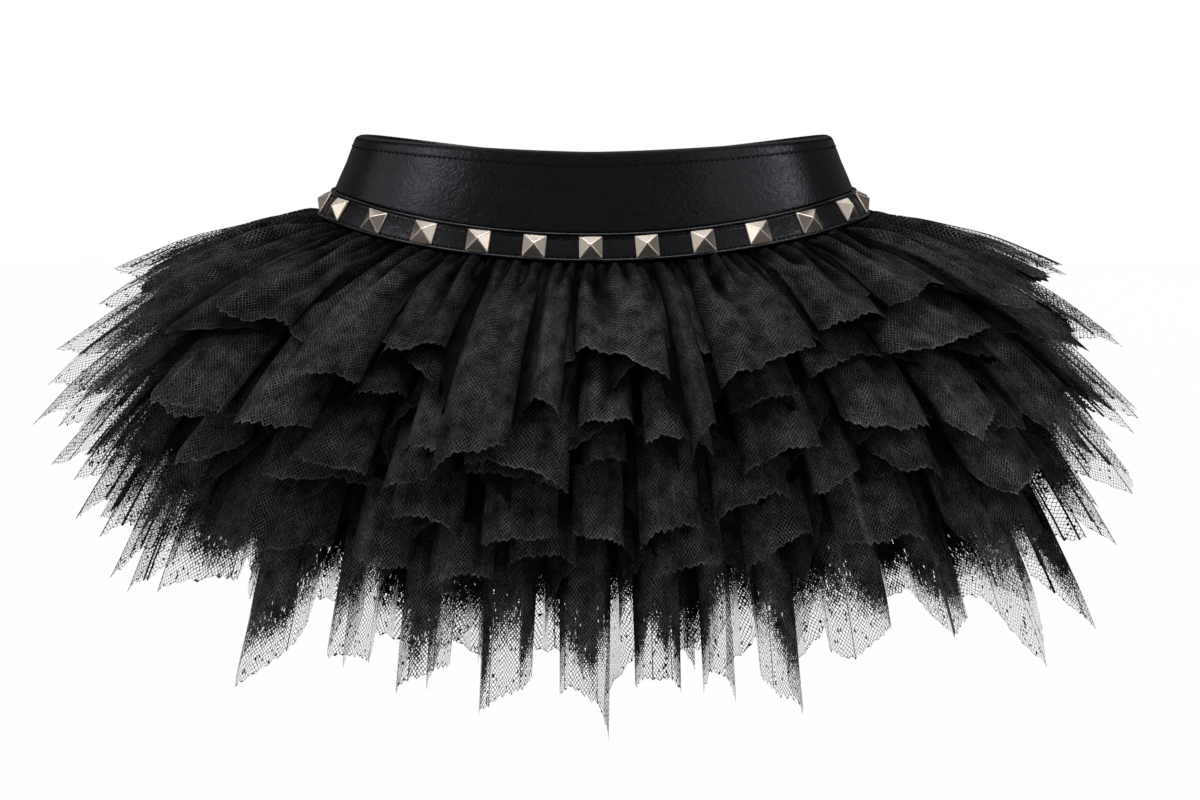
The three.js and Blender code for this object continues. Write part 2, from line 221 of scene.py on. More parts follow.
# Panels: turn from the front to the right and rise in degrees, distance, width and height in metres,
# and brightness
PANELS = [
    ("left_panel", -58, 25, 1.5, 1.6, 0.75, 0.65),
    ("left_core", -44, 25, 1.45, 0.26, 0.3, 4.0),
    ("right_panel", 44, 24, 1.5, 1.3, 0.75, 0.6),
    ("right_core", 58, 25, 1.45, 0.2, 0.3, 5.5),
    ("overhead", 0, 84, 1.5, 1.3, 0.45, 9.0),
    ("back_high", 180, 48, 1.5, 1.4, 0.6, 1.8),
    ("low_left", -40, -18, 2.1, 1.1, 0.6, 7.0),
    ("low_right", 40, -18, 2.1, 1.1, 0.6, 7.0),
]
# how bright the backdrop is to everything but the camera
BACKDROP_GLOW = 0.09
FLOOR_SIDE = 6000.0
FLOOR_HEIGHT = -430.0


# Sections and ovals

OVAL_STEPS = 1440
oval_cache = {}


def oval_table(half_width, half_depth):
    """Shares of the way round an oval, its points there, and its length."""
    key = (round(float(half_width), 6), round(float(half_depth), 6))
    if key not in oval_cache:
        turn = np.linspace(0, 2 * np.pi, OVAL_STEPS + 1)
        power = 2 / OVAL_POWER
        x = half_width * np.sign(np.sin(turn)) * np.abs(np.sin(turn)) ** power
        y = -half_depth * np.sign(np.cos(turn)) * np.abs(np.cos(turn)) ** power
        length = np.concatenate([[0], np.cumsum(np.hypot(np.diff(x), np.diff(y)))])
        oval_cache[key] = (length / length[-1], x, y, length[-1])
    return oval_cache[key]


def oval_point(section, share):
    """Across and deep on a section's oval at shares of the way round, 0 at the centre front."""
    shares, xs, ys, _ = oval_table(*section[:2])
    wrapped = np.mod(share, 1.0)
    return np.interp(wrapped, shares, xs), np.interp(wrapped, shares, ys)


def section_points(section, share):
    half_width, _, height, front_dip, back_dip, dip_power = section
    x, y = oval_point(section, share)
    dip = np.where(y < 0, front_dip, back_dip)
    to_centre = 1 - np.minimum(1, np.abs(x / half_width)) ** dip_power
    return np.stack([x, y, height - dip * to_centre], -1)


def facing_angle(section, share):
    """The direction that a section's points face, 0 to the front and a quarter turn to the right."""
    half_width, half_depth = section[:2]
    x, y = oval_point(section, share)
    power = OVAL_POWER - 1
    out_x = np.sign(x) * np.abs(x / half_width) ** power / half_width
    out_y = np.sign(y) * np.abs(y / half_depth) ** power / half_depth
    return np.arctan2(out_x, -out_y)


def blend_rows(rows, part):
    """A section between the rows, with part from 0 at the first row to 1 at the last, by height."""
    marks = (rows[0, 2] - rows[:, 2]) / (rows[0, 2] - rows[-1, 2])
    return np.array([np.interp(part, marks, rows[:, column]) for column in range(rows.shape[1])])


# Meshes

def new_item(name, data):
    item = bpy.data.objects.new(name, data)
    bpy.context.scene.collection.objects.link(item)
    return item


def make_mesh(name, points, faces, material, uv=None, **vectors):
    """A mesh object from points in millimetres. uv is two numbers a point, and other vectors three."""
    mesh = bpy.data.meshes.new(name)
    faces = faces.tolist() if isinstance(faces, np.ndarray) else faces
    mesh.from_pydata((np.asarray(points) * MM).tolist(), [], faces)
    mesh.update()
    mesh.polygons.foreach_set("use_smooth", np.ones(len(mesh.polygons), bool))
    loops = np.empty(len(mesh.loops), int)
    mesh.loops.foreach_get("vertex_index", loops)
    if uv is not None:
        layer = mesh.uv_layers.new(name="UVMap")
        layer.data.foreach_set("uv", np.asarray(uv, float)[loops].ravel())
    for key, values in vectors.items():
        attribute = mesh.attributes.new(name=key, type="FLOAT_VECTOR", domain="POINT")
        attribute.data.foreach_set("vector", np.asarray(values, float).ravel())
    mesh.materials.append(material)
    return new_item(name, mesh)


def grid_faces(columns, rows, closed_columns, closed_rows):
    """Quads over a grid of points stored column by column."""
    column_spans = columns if closed_columns else columns - 1
    row_spans = rows if closed_rows else rows - 1
    c, r = np.meshgrid(np.arange(column_spans), np.arange(row_spans), indexing="ij")
    next_c = (c + 1) % columns
    next_r = (r + 1) % rows
    faces = np.stack([c * rows + next_r, next_c * rows + next_r, next_c * rows + r, c * rows + r], -1)
    return faces.reshape(-1, 4)


def place(item, slot, *nodes):
    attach(item, "root")
    if nodes:
        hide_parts(*nodes)
    return item


# Materials

def new_material(name, **settings):
    material = bpy.data.materials.new(name)
    material.use_nodes = True
    shader = material.node_tree.nodes["Principled BSDF"]
    for socket, value in settings.items():
        shader.inputs[socket.replace("_", " ")].default_value = value
    return material, material.node_tree, shader


def add_node(tree, kind, inputs=(), **properties):
    node = tree.nodes.new("ShaderNode" + kind)
    for key, value in properties.items():
        setattr(node, key, value)
    for socket, value in dict(inputs).items():
        if isinstance(value, bpy.types.NodeSocket):
            tree.links.new(value, node.inputs[socket])
        else:
            node.inputs[socket].default_value = value
    return node


def maths(tree, operation, *values, **properties):
    return add_node(tree, "Math", enumerate(values), operation=operation, **properties).outputs[0]


def blend(tree, factor, first, second):
    """A colour between two."""
    mix = add_node(tree, "Mix", {"Factor": factor}, data_type="RGBA")
    mix.inputs["A"].default_value = (*first, 1)
    mix.inputs["B"].default_value = (*second, 1)
    return mix.outputs["Result"]


def cell_chance(tree, u, v, width, length):
    """A random number for each small cell of the cloth."""
    cell = add_node(tree, "CombineXYZ", {
        0: maths(tree, "FLOOR", maths(tree, "DIVIDE", u, width)),
        1: maths(tree, "FLOOR", maths(tree, "DIVIDE", v, length))})
    return add_node(tree, "TexWhiteNoise", {"Vector": cell.outputs[0]},
                    noise_dimensions="2D").outputs["Value"]


def leather_material(name, colour, roughness, grain, gloss=0.5):
    material, tree, shader = new_material(name, Base_Color=(*colour, 1), Roughness=roughness,
                                          Specular_IOR_Level=gloss,
                                          Specular_Tint=(0.88, 0.89, 1.0, 1))
    where = add_node(tree, "TexCoord").outputs["Object"]
    pores = add_node(tree, "TexVoronoi", {"Vector": where, "Scale": 900.0},
                     feature="DISTANCE_TO_EDGE")
    wrinkles = add_node(tree, "TexNoise", {"Vector": where, "Scale": 430.0, "Detail": 1.0,
                                                     "Distortion": 1.1})
    creases = add_node(tree, "TexNoise", {"Vector": where, "Scale": 60.0, "Detail": 2.0,
                                                    "Distortion": 0.6})
    edge = maths(tree, "MINIMUM", pores.outputs["Distance"], 0.12)
    edge = maths(tree, "MULTIPLY", edge, 0.35)
    height = maths(tree, "MULTIPLY_ADD", wrinkles.outputs["Fac"], 0.8, edge)
    height = maths(tree, "MULTIPLY_ADD", creases.outputs["Fac"], 1.6, height)
    bump = add_node(tree, "Bump", {"Height": height, "Strength": grain, "Distance": 0.0006})
    tree.links.new(bump.outputs["Normal"], shader.inputs["Normal"])
    rough = maths(tree, "MULTIPLY_ADD", creases.outputs["Fac"], 0.12, roughness - 0.06)
    tree.links.new(rough, shader.inputs["Roughness"])
    # colour lighter and darker along the wrinkles: partly the grain's own tone, partly painted light
    # and shade of the grain
    shade = blend(tree, wrinkles.outputs["Fac"], [0.35 * c for c in colour], [1.75 * c for c in colour])
    tree.links.new(shade, shader.inputs["Base Color"])
    return material


def metal_material(name, metallic, brightness):
    material, tree, shader = new_material(name, Metallic=metallic)
    where = add_node(tree, "TexCoord").outputs["Object"]
    smears = add_node(tree, "TexNoise", {"Vector": where, "Scale": 160.0, "Detail": 3.0})
    rough = maths(tree, "MULTIPLY_ADD", smears.outputs["Fac"], 0.06, 0.26)
    tree.links.new(rough, shader.inputs["Roughness"])
    tint = blend(tree, smears.outputs["Fac"], [brightness * c for c in (0.56, 0.48, 0.41)],
                 [brightness * c for c in (0.74, 0.66, 0.58)])
    tree.links.new(tint, shader.inputs["Base Color"])
    return material


def thread_material():
    material, tree, shader = new_material("thread", Base_Color=(0.003, 0.003, 0.003, 1), Roughness=0.7,
                                          Specular_IOR_Level=0.15)
    where = add_node(tree, "TexCoord").outputs["Object"]
    twist = add_node(tree, "TexWave", {"Vector": where, "Scale": 700.0, "Distortion": 1.0})
    bump = add_node(tree, "Bump", {"Height": twist.outputs["Fac"], "Strength": 0.4,
                                 "Distance": 0.0002})
    tree.links.new(bump.outputs["Normal"], shader.inputs["Normal"])
    return material


def net_material(name, lit_thread_colour, shaded_backing_colour):
    """Diamond net seen through. The mesh's net gives the part closed, thread width and painted shade,
    and its edge gives the distance to the hem and to a petal's side edge."""
    material, tree, shader = new_material(name, Roughness=0.8, Specular_IOR_Level=0.02)
    uv = add_node(tree, "UVMap", uv_map="UVMap").outputs["UV"]
    flat = add_node(tree, "SeparateXYZ", {0: uv})
    patches = add_node(tree, "TexNoise", {"Vector": uv, "Scale": 0.085, "Detail": 1.5},
                       noise_dimensions="2D")
    drift = add_node(tree, "SeparateXYZ", {0: patches.outputs["Color"]})
    u = maths(tree, "MULTIPLY_ADD", drift.outputs[0], NET_WOBBLE, flat.outputs[0])
    v = maths(tree, "MULTIPLY_ADD", drift.outputs[1], NET_WOBBLE, flat.outputs[1])
    edge = add_node(tree, "Attribute", attribute_name="edge").outputs["Vector"]
    hem_distance, side_distance = add_node(tree, "SeparateXYZ", {0: edge}).outputs[:2]
    net = add_node(tree, "Attribute", attribute_name="net").outputs["Vector"]
    closed_part, width, shade = add_node(tree, "SeparateXYZ", {0: net}).outputs[:3]
    chance = cell_chance(tree, u, v, SPOT_WIDTH, SPOT_LENGTH)
    # towards the seam the threads look thicker until no opening is left, with a little speckle
    closed = maths(tree, "MULTIPLY_ADD", chance, -SPECKLE, closed_part)
    closed = maths(tree, "MULTIPLY", closed, 1 / (1 - SPECKLE), use_clamp=True)
    closed = maths(tree, "POWER", closed, 1.6)
    thicker = maths(tree, "MULTIPLY_ADD", closed, 0.42, width)
    step = 1 / NET_CELL
    slanted = maths(tree, "MULTIPLY", v, NET_SLANT * step)
    rising = maths(tree, "MULTIPLY_ADD", u, step, slanted)
    falling = maths(tree, "MULTIPLY_ADD", u, -step, slanted)
    first = maths(tree, "PINGPONG", rising, 0.5)
    second = maths(tree, "PINGPONG", falling, 0.5)
    nearest = maths(tree, "MINIMUM", first, second)
    threads = maths(tree, "LESS_THAN", nearest, width)
    filled = maths(tree, "LESS_THAN", nearest, thicker)
    side_line = maths(tree, "LESS_THAN", side_distance, EDGE_WIDTH)
    lit_threads = maths(tree, "MAXIMUM", threads, maths(tree, "MULTIPLY", side_line, 0.4))
    threads = maths(tree, "MAXIMUM", threads, side_line)
    closed = maths(tree, "MAXIMUM", closed, filled)
    # short slits let light through where the net is nearly closed
    slit_chance = cell_chance(tree, flat.outputs[0], v, SLIT_WIDTH, SLIT_LENGTH)
    slit_limit = maths(tree, "MULTIPLY_ADD", closed_part, -SLIT_SHARE, SLIT_SHARE)
    slit_open = maths(tree, "LESS_THAN", slit_chance, slit_limit)
    closed = maths(tree, "MULTIPLY", closed, maths(tree, "SUBTRACT", 1.0, slit_open))
    # small dots sit in the open net
    closed = maths(tree, "MAXIMUM", closed, maths(tree, "LESS_THAN", chance, DOT_CHANCE))
    ragged = maths(tree, "MULTIPLY_ADD", chance, 0.6, hem_distance)
    hem_line = maths(tree, "LESS_THAN", ragged, HEM_WIDTH)
    ragged = maths(tree, "MULTIPLY_ADD", chance, 4.0, hem_distance)
    hem_dot = maths(tree, "LESS_THAN", ragged, HEM_HIGHLIGHT)
    hem_line = maths(tree, "MAXIMUM", hem_line, hem_dot)
    lit_threads = maths(tree, "MAXIMUM", lit_threads, hem_line)
    threads = maths(tree, "MAXIMUM", threads, hem_line)
    tree.links.new(maths(tree, "MAXIMUM", threads, closed), shader.inputs["Alpha"])
    # the lit copy of the net's colour on the threads, and the painted-shade copy where it is closed
    colour = blend(tree, lit_threads, shaded_backing_colour, lit_thread_colour)
    # lighter and darker at random in patches and from cell to cell, and lighter near the hem: a painted
    # highlight where the frayed threads catch light
    hem_highlight_band = maths(tree, "LESS_THAN", hem_distance, HEM_HIGHLIGHT)
    tone_and_hem_highlight = maths(tree, "MULTIPLY_ADD", drift.outputs[2], 2.2, -0.1)
    tone_and_hem_highlight = maths(tree, "MULTIPLY", tone_and_hem_highlight, maths(tree, "MULTIPLY_ADD", chance, 0.9, 0.55))
    tone_and_hem_highlight = maths(tree, "MULTIPLY", tone_and_hem_highlight, maths(tree, "MULTIPLY_ADD", hem_highlight_band, 0.5, 1.0))
    shaded = add_node(tree, "VectorMath", {0: colour}, operation="SCALE")
    tree.links.new(maths(tree, "MULTIPLY", shade, tone_and_hem_highlight), shaded.inputs["Scale"])
    tree.links.new(shaded.outputs[0], shader.inputs["Base Color"])
    return material


LEATHER = leather_material("black_leather", (0.006, 0.006, 0.0068), 0.28, 0.4)
PIPING_LEATHER = leather_material("piping_leather", (0.005, 0.005, 0.0055), 0.28, 0.25)
EDGE_LEATHER = leather_material("leather_edge", (0.005, 0.005, 0.0055), 0.5, 0.25, 0.08)
THREAD = thread_material()
METAL = metal_material("stud_metal", 1.0, 1.0)
# a lighter, less metallic copy of the metal on the studs' ridges: painted highlights along them
RIDGE_HIGHLIGHT_METAL = metal_material("stud_ridge_highlights", 0.45, 1.25)
# the threads' colour and the darker colour where the net is closed are a lit and a shaded copy of the
# same black net, painted light and shade; the threads' colour also carries a painted sheen
TULLE = net_material("tulle", (0.072, 0.072, 0.076), (0.011, 0.011, 0.0116))


# Leather bands

def wave_noise(share, height, seed, size):
    """Soft uneven waves over a band, from a few sine waves that close round it."""
    random = np.random.default_rng(seed)
    total = np.zeros(np.broadcast(share, height).shape)
    for octave in range(7):
        around = random.integers(3, 12 + 4 * octave)
        total = total + np.sin(2 * np.pi * (around * share + random.random())
                               + height * random.uniform(-0.16, 0.16) + PHASE_SPAN * random.random())
    return size * total / 3


def rolled_in(part, height, edge):
    """How far a wall's surface rolls in near the edges of a band."""
    roll = max(0.0, 1 - min(part, 1 - part) * height / edge)
    return edge * (1 - math.sqrt(max(0.0, 1 - roll ** 2)))


def band_shell(name, rows, start, end, columns, bulge, edge, seed, stitch, closed=False):
    """A leather band: outer face, rounded edges and inner face, over part of the way round."""
    length = oval_table(*rows[0, :2])[3]
    height = rows[0, 2] - rows[-1, 2]
    seam_dip = 0
    if closed:
        shares = start + (end - start) * np.arange(columns) / columns
    else:
        seam = np.array(SEAM_STEPS) / length
        shares = np.linspace(start, end, columns)
        shares = np.sort(np.concatenate([shares, start + seam, end - seam]))
        # at a seam the leather turns in between the panels
        from_end = np.minimum(shares - start, end - shares) * length
        seam_dip = SEAM_DEPTH * np.exp(-(from_end / SEAM_WIDTH) ** 2)
    near_groove = [at + step / height for at in stitch["parts"] for step in GROOVE_STEPS]
    outer_parts = np.concatenate([np.linspace(0, 0.12, 6), np.linspace(0.12, 0.88, 22)[1:-1],
                                  np.linspace(0.88, 1, 6), near_groove])
    loops = []
    for part in np.unique(np.round(outer_parts, 5)):
        crown = bulge * math.sin(math.pi * part)
        dent = wave_noise(shares, part * height, seed, DENT) * math.sin(math.pi * part)
        for at in stitch["parts"]:
            dent = dent - stitch["groove"] * math.exp(-((part - at) * height / GROOVE_WIDTH) ** 2)
            if at < 0.5:
                # above an upper row of stitches the turned edge is thicker
                dent = dent + stitch["groove"] / (1 + math.exp((part - at) * height / 0.25))
        push = crown - rolled_in(part, height, edge) + dent - seam_dip
        loops.append(pushed_section(blend_rows(rows, part), shares, push))
    for part in np.linspace(1, 0, 12)[1:-1]:
        push = rolled_in(part, height, edge) - LEATHER_WALL
        loops.append(pushed_section(blend_rows(rows, part), shares, push))
    size = len(loops)
    faces = grid_faces(len(shares), size, closed, True).tolist()
    if not closed:
        faces.append(list(range(size)))
        faces.append(list(range((len(shares) - 1) * size, len(shares) * size))[::-1])
    return make_mesh(name, np.stack(loops, 1).reshape(-1, 3), faces, LEATHER)


def pushed_section(section, shares, distance):
    """A section's points pushed out level by a distance along the oval's normal."""
    points = section_points(section, shares)
    facing = facing_angle(section, shares)
    points[:, 0] += distance * np.sin(facing)
    points[:, 1] -= distance * np.cos(facing)
    return points


def strip_frame(share, down):
    """Point and directions on the strip: along it, up it and out of it."""
    # the direction comes from two points a third of the studs' spacing apart
    step = 0.5 / (STUD_COUNT * 3)
    shares = np.array([share - step, share, share + step])
    top, foot = [section_points(section, shares) for section in STRIP_ROWS]
    before, _, after = top + (foot - top) * down
    point = (before + after) / 2
    along_it = (after - before) / np.linalg.norm(after - before)
    up = top[1] - foot[1]
    up = up - along_it * up.dot(along_it)
    up = up / np.linalg.norm(up)
    return point, along_it, up, np.cross(along_it, up)


def add_piping(node, down):
    """A thin roll of leather laid along the strip, at a part of its width."""
    frames = [strip_frame(number / PIPING_STEPS, down) for number in range(PIPING_STEPS)]
    feet, _, ups, outs = [np.array(values)[:, None, :] for values in zip(*frames)]
    radius = PIPING_WIDTH / 2
    centres = feet + outs * (radius + PIPING_OUT)
    turn = (2 * np.pi * np.arange(PIPING_SIDES) / PIPING_SIDES)[None, :, None]
    points = centres + radius * np.cos(turn) * ups + radius * np.sin(turn) * outs
    faces = grid_faces(PIPING_STEPS, PIPING_SIDES, True, True)
    place(make_mesh(node + "_tube", points.reshape(-1, 3), faces, PIPING_LEATHER), "piping", node)


def add_yoke():
    gap = SEAM_GAP / oval_table(*YOKE_ROWS[0, :2])[3]
    panels = [("yoke_front", -0.25, 0.25, 300), ("yoke_back_right", 0.25, 0.5, 150),
              ("yoke_back_left", 0.5, 0.75, 150)]
    for number, (node, start, end, columns) in enumerate(panels):
        shell = band_shell(node + "_shell", YOKE_ROWS, start + gap, end - gap, columns, bulge=0.5,
                           edge=1.0, seed=11 + number, stitch=YOKE_STITCH)
        # the cut edge on top is duller than the face
        shell.data.materials.append(EDGE_LEATHER)
        for polygon in shell.data.polygons:
            polygon.material_index = int(polygon.normal.z > 0.45)
        place(shell, "leather", node)


def add_strip():
    shell = band_shell("stud_strip_shell", STRIP_ROWS, 0, 1, 540, bulge=0.35, edge=0.8, seed=21,
                       stitch=STRIP_STITCH, closed=True)
    place(shell, "leather", "stud_strip")
    add_piping("piping_upper", PIPING_INSET)
    add_piping("piping_lower", 1 - PIPING_INSET)


# Stitches: short thread capsules laid in a row

# a capsule's rings: where each lies along it, and its width there
STITCH_RINGS = [(-0.5, 0.35), (-0.42, 0.85), (0.0, 1.0), (0.42, 0.85), (0.5, 0.35)]
STITCH_SIDES = 6


def stitch_row(name, frames, length, width):
    """frames are (point, along, out) for each stitch."""
    points = []
    faces = []
    for point, direction, out in frames:
        side = np.cross(direction, out)
        base = len(points)
        for at, thick in STITCH_RINGS:
            lift = -0.25 * width * (2 * at) ** 2
            centre = point + direction * at * length + out * lift
            for number in range(STITCH_SIDES):
                turn = 2 * math.pi * number / STITCH_SIDES
                outward = math.cos(turn) * side + math.sin(turn) * out
                points.append(centre + width / 2 * thick * outward)
        ends = len(STITCH_RINGS) - 1
        for ring in range(ends):
            for number in range(STITCH_SIDES):
                following = (number + 1) % STITCH_SIDES
                low = base + ring * STITCH_SIDES
                high = low + STITCH_SIDES
                faces.append((low + number, low + following, high + following, high + number))
        faces.append(tuple(base + number for number in range(STITCH_SIDES))[::-1])
        faces.append(tuple(base + ends * STITCH_SIDES + number for number in range(STITCH_SIDES)))
    place(make_mesh(name, points, faces, THREAD), "leather")


def yoke_stitch_frame(share):
    """Where a stitch of the yoke lies, and its directions along the row and out of it."""
    section = blend_rows(YOKE_ROWS, YOKE_STITCH["parts"][0])
    here, ahead = pushed_section(section, np.array([share, share + 0.001]), YOKE_STITCH["out"])
    direction = (ahead - here) / np.linalg.norm(ahead - here)
    facing = float(facing_angle(YOKE_ROWS[1], np.array([share]))[0])
    out = np.array([math.sin(facing), -math.cos(facing), 0.25])
    out = out - direction * out.dot(direction)
    return here, direction, out / np.linalg.norm(out)


def strip_stitch_frame(share, down):
    point, direction, _, out = strip_frame(share, down)
    return point + out * STRIP_STITCH["out"], direction, out


def add_stitches():
    count = int(oval_table(*YOKE_ROWS[1, :2])[3] / YOKE_STITCH["pitch"])
    frames = [yoke_stitch_frame((number + 0.5) / count) for number in range(count)]
    stitch_row("yoke_topstitch", frames, YOKE_STITCH["length"], YOKE_STITCH["width"])
    count = int(oval_table(*STRIP_ROWS[1, :2])[3] / STRIP_STITCH["pitch"])
    for name, down in zip(("strip_stitch_upper", "strip_stitch_lower"), STRIP_STITCH["parts"]):
        frames = [strip_stitch_frame((number + 0.5) / count, down) for number in range(count)]
        stitch_row(name, frames, STRIP_STITCH["length"], STRIP_STITCH["width"])


# Studs

def stud_mesh():
    half = STUD["side"] / 2
    shape = bmesh.new()
    corners = [(-half, -half), (half, -half), (half, half), (-half, half)]
    low = [shape.verts.new((x, y, 0)) for x, y in corners]
    high = [shape.verts.new((x, y, STUD["edge"])) for x, y in corners]
    apex = shape.verts.new((0, 0, STUD["apex"]))
    shape.faces.new(low[::-1])
    for number in range(4):
        following = (number + 1) % 4
        shape.faces.new((low[number], low[following], high[following], high[number]))
        shape.faces.new((high[number], high[following], apex))
    bmesh.ops.bevel(shape, geom=shape.edges[:], offset=STUD["bevel"], segments=3, affect="EDGES",
                    profile=0.5)
    bmesh.ops.recalc_face_normals(shape, faces=shape.faces[:])
    mesh = bpy.data.meshes.new("stud")
    shape.to_mesh(mesh)
    shape.free()
    return mesh


def add_studs():
    random = np.random.default_rng(5)
    pattern = stud_mesh()
    most = STUD["twist"]
    for number in range(STUD_COUNT):
        point, direction, up, out = strip_frame(number / STUD_COUNT, 0.5)
        centre = Vector(point + out * STUD["seat"])
        basis = Matrix((direction, up, out)).transposed()
        twist = Matrix.Rotation(math.radians(random.uniform(-most, most)), 3, "Z")
        mesh = pattern.copy()
        mesh.transform((basis @ twist).to_4x4())
        mesh.transform(Matrix.Translation(centre))
        mesh.transform(Matrix.Scale(MM, 4))
        # the broad faces stay flat and only the rounded edges between them are smooth
        mesh.polygons.foreach_set("use_smooth", [face.area < EDGE_FACE for face in mesh.polygons])
        mesh.materials.append(METAL)
        mesh.materials.append(RIDGE_HIGHLIGHT_METAL)
        # the narrow faces along the ridges take the lighter metal, painted highlights
        ridge_highlight_faces = [int(face.area < RIDGE_FACE) for face in mesh.polygons]
        mesh.polygons.foreach_set("material_index", ridge_highlight_faces)
        node = f"stud_{number + 1:02d}"
        place(new_item(node + "_pyramid", mesh), "studs", node)
    bpy.data.meshes.remove(pattern)


# Flounces

def heading(share):
    """The direction in which the cloth runs out from the seam."""
    even = 2 * np.pi * (np.mod(share + 0.5, 1.0) - 0.5)
    turn = facing_angle(SEAM, share) - even
    short = turn - 2 * np.pi * np.round(turn / (2 * np.pi))
    return even + NORMAL_SHARE * short


def tier_value(key, level):
    """A flounce table's value at a level between two flounces, going on evenly past the last."""
    values = [f[key] for f in FLOUNCES]
    if level > len(values) - 1:
        return values[-1] + (values[-1] - values[-2]) * (level - len(values) + 1)
    return float(np.interp(level, range(len(values)), values))


def start_angle(level, sideways):
    front = tier_value("front", level)
    side = tier_value("side", level)
    return np.radians(front + (side - front) * sideways)


def along(level, sideways, distance):
    """Out and down from the seam after a distance, and the cloth's angle there."""
    out = np.zeros_like(distance)
    down = np.zeros_like(distance)
    whole = int(math.floor(level))
    steps = [(n, 1.0) for n in range(whole)] + [(whole, level - whole)]
    for number, part in steps:
        middle = (start_angle(number, sideways) + start_angle(number + 1, sideways)) / 2
        out = out - part * FLOUNCE_STEP * np.sin(middle)
        down = down + part * FLOUNCE_STEP * np.cos(middle)
    start = start_angle(level, sideways)
    bend = math.radians(max(0.03, tier_value("bend", level)))
    angle = start + bend * distance
    out = out + (np.sin(angle) - np.sin(start)) / bend
    down = down + (np.cos(start) - np.cos(angle)) / bend
    return out, down, angle


def fold_room(level, sideways, distance):
    """How far a fold may stand out before it meets the next flounce's."""
    upper = min(max(level, 0), len(FLOUNCES) - 2)
    above = along(upper, sideways, distance)
    below = along(upper + 1, sideways, distance)
    space = np.hypot(above[0] - below[0], above[1] - below[1])
    return np.maximum(0, space / 2 - CREST_CLEARANCE - CLEARANCE_GROWTH * distance)


def flounce_points(level, share, distance, crest, lift):
    """Points of a flounce, with the petals' crest from -1 to 1 and a further lift in millimetres."""
    turn = heading(share)
    sideways = np.sin(turn) ** 2
    out, down, angle = along(level, sideways, distance)
    room = np.where(crest > 0, fold_room(level - 1, sideways, distance),
                    fold_room(level, sideways, distance))
    rise = crest * room + lift
    level_out = out + rise * np.sin(angle)
    points = section_points(SEAM, share)
    points[..., 0] += level_out * np.sin(turn)
    points[..., 1] -= level_out * np.cos(turn)
    points[..., 2] += rise * np.cos(angle) - down
    return points, sideways


def steady_curve(values, at, period_step=0.0):
    """A curve through values at 0, 1, 2 and so on round a ring, flat at each high and low."""
    count = len(values)
    steps = np.diff(np.append(values, values[0] + period_step))
    before = np.roll(steps, 1)
    same = before * steps > 0
    slopes = np.where(same, 2 * before * steps / np.where(same, before + steps, 1), 0)
    here = np.floor(at).astype(int) % count
    after = (here + 1) % count
    t = at - np.floor(at)
    start = values[here]
    rise = steps[here]
    a = slopes[here]
    b = slopes[after]
    return start + t * a + t ** 2 * (3 * rise - 2 * a - b) + t ** 3 * (a + b - 2 * rise)


def petal_columns(ring, notch, random, taper):
    """Six columns a petal: where it starts at the seam and ends at the hem, its reach, how far it
    stands out, and how much it is a side petal. taper narrows it towards the hem."""
    under = FOLD_UNDER + taper
    rows = []
    for number, (left, right, reach_left, reach_right) in enumerate(ring):
        following = ring[(number + 1) % len(ring)]
        turn = 0 if number + 1 < len(ring) else 360
        next_left = following[0] + turn
        next_width = following[1] - following[0]
        width = right - left
        trough = next_left - right
        sideways = math.sin(math.radians((left + right) / 2)) ** 2
        side_part = min(1, sideways * 1.3) ** 2
        hem = FRONT_HEM + (SIDE_HEM - FRONT_HEM) * side_part
        crest = FRONT_CREST + (SIDE_CREST - FRONT_CREST) * side_part
        rise = 1 - notch * random.uniform(-0.6, 2)
        spans = [(0, taper), (0.3, 0.28), (0.7, 0.72), (1, 1 - taper)]
        for column, (part, spread) in enumerate(spans):
            reach = (reach_left + (reach_right - reach_left) * part) * hem[column]
            if column in (1, 2):
                reach = reach * rise
            rows.append((left + part * width, left + spread * width, reach, crest[column], side_part))
        rows.append((right + trough / 3, right - under * width, hem[4] * reach_right, crest[4],
                     side_part))
        rows.append((right + 2 * trough / 3, next_left + under * next_width, hem[5] * following[2],
                     crest[5], side_part))
    return np.array(rows, float)


def whole_ring(petals):
    turned = [[left + 180, right + 180, a, b] for left, right, a, b in petals]
    return petals + turned


def corner_reaches(name):
    """Positions of a flounce's corners in degrees of share, in order, and the reach at each."""
    ring = np.array(whole_ring(PETALS[name]))
    marks = ring[:, :2].T.ravel()
    order = np.argsort(marks)
    return marks[order], ring[:, 2:].T.ravel()[order]


def smooth_reach(level, degrees):
    """The flounces' reach round the body at a level between two of them, evened out."""
    spread = np.arange(-9, 10, 3)
    first = int(math.floor(level))
    results = []
    for number in (first, first + 1):
        flounce = FLOUNCES[min(max(number, 0), len(FLOUNCES) - 1)]
        marks, reaches = corner_reaches(flounce["name"])
        at = np.mod(degrees[:, None] + spread + 87, 360) - 87
        results.append(np.interp(at, marks, reaches, period=360).mean(1))
    part = level - first
    return results[0] * (1 - part) + results[1] * part


def gather_waves(random, degrees, distance, sizes):
    """Folds that run out from the seam: (count round the body, height, full from, fades over)."""
    angle = np.radians(degrees)
    total = np.zeros_like(distance)
    for count, height, start, fade in sizes:
        strength = np.minimum(1, distance / start) * np.exp(-distance / fade)
        wobble = np.sin(angle * random.integers(4, 9) + PHASE_SPAN * random.random())
        sway = np.sin(distance / random.uniform(11, 18) + angle * random.integers(9, 17))
        phase = angle * count + 1.3 * wobble + 0.9 * sway + PHASE_SPAN * random.random()
        uneven = 0.6 + 0.4 * np.sin(angle * random.integers(11, 23) + PHASE_SPAN * random.random())
        total = total + height * strength * uneven * np.sin(phase)
    return total


